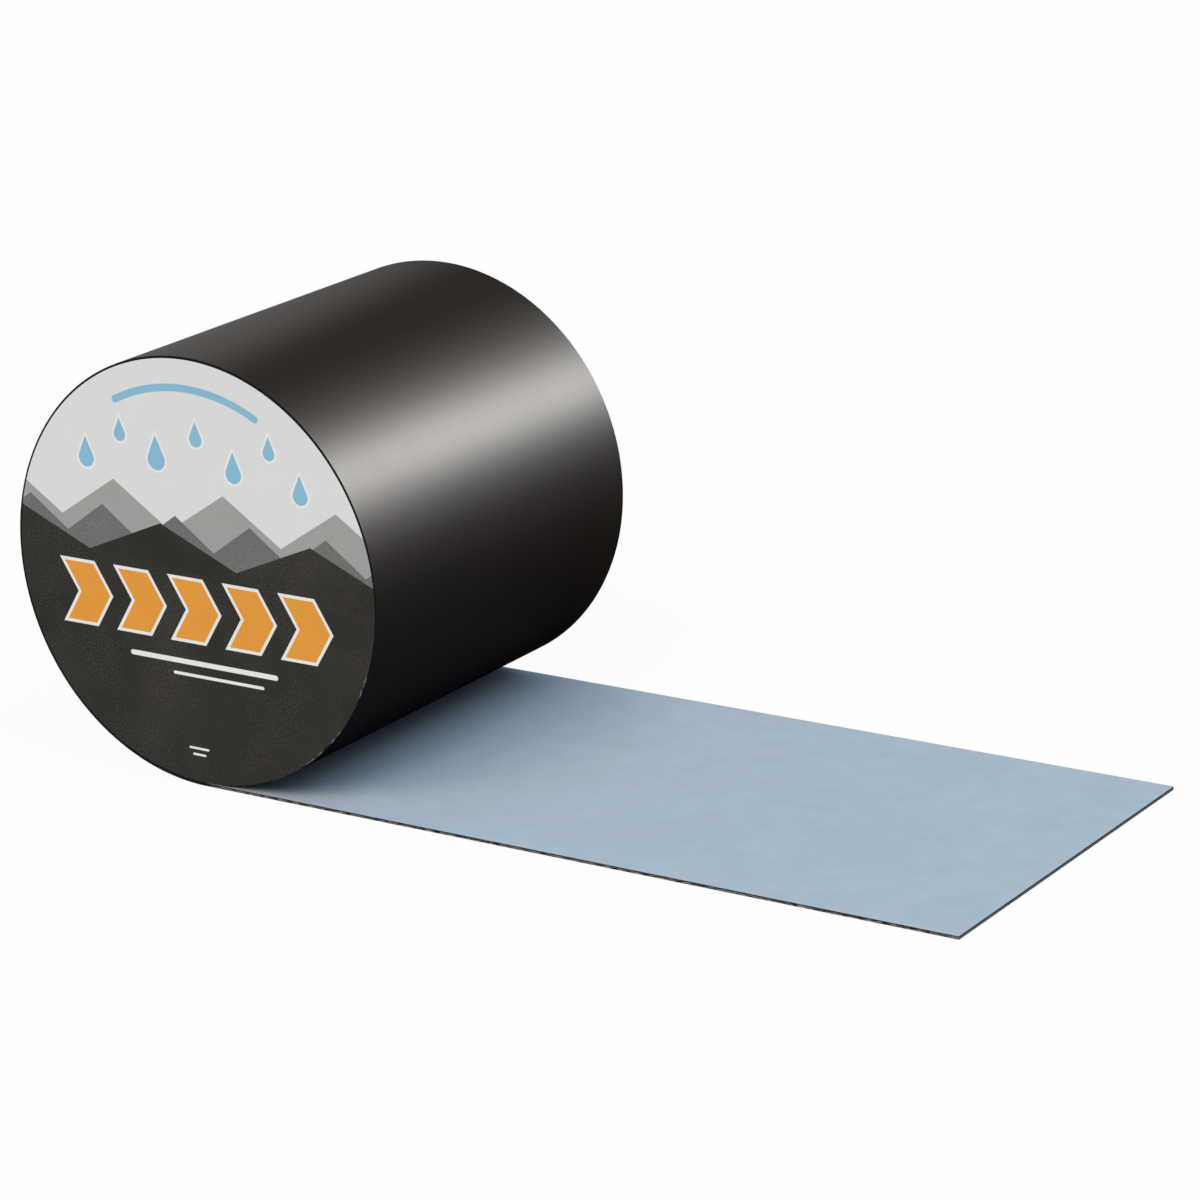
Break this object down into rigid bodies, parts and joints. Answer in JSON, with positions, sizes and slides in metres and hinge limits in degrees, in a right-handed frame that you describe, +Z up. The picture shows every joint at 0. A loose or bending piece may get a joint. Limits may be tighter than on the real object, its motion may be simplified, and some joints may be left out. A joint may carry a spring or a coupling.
{
  "type": "roll of bitumen flashing tape",
  "caption": "Roll of foil-faced bitumen flashing tape lying on its side, with a loose end laid out flat, liner side up, and a round paper label on one end.",
  "frame": {"origin": "on the floor, under the roll's axis and midway along the tape's width, on the line where the loose end leaves the roll", "axes": "+X along the loose end, +Y along the roll's axis away from the label, +Z up"},
  "size_m": [0.363, 0.1503, 0.15],
  "materials": {
    "foil_faced_bitumen": "satin lacquered foil over black bitumen",
    "liner_film": "pale blue-grey siliconised film, soft sheen",
    "label_paper": "printed paper, light grey above and charcoal below"
  },
  "bodies": {
    "root": {"wound_tape": "foil_faced_bitumen", "release_liner": "liner_film", "end_label": "label_paper"}
  },
  "joints": []
}
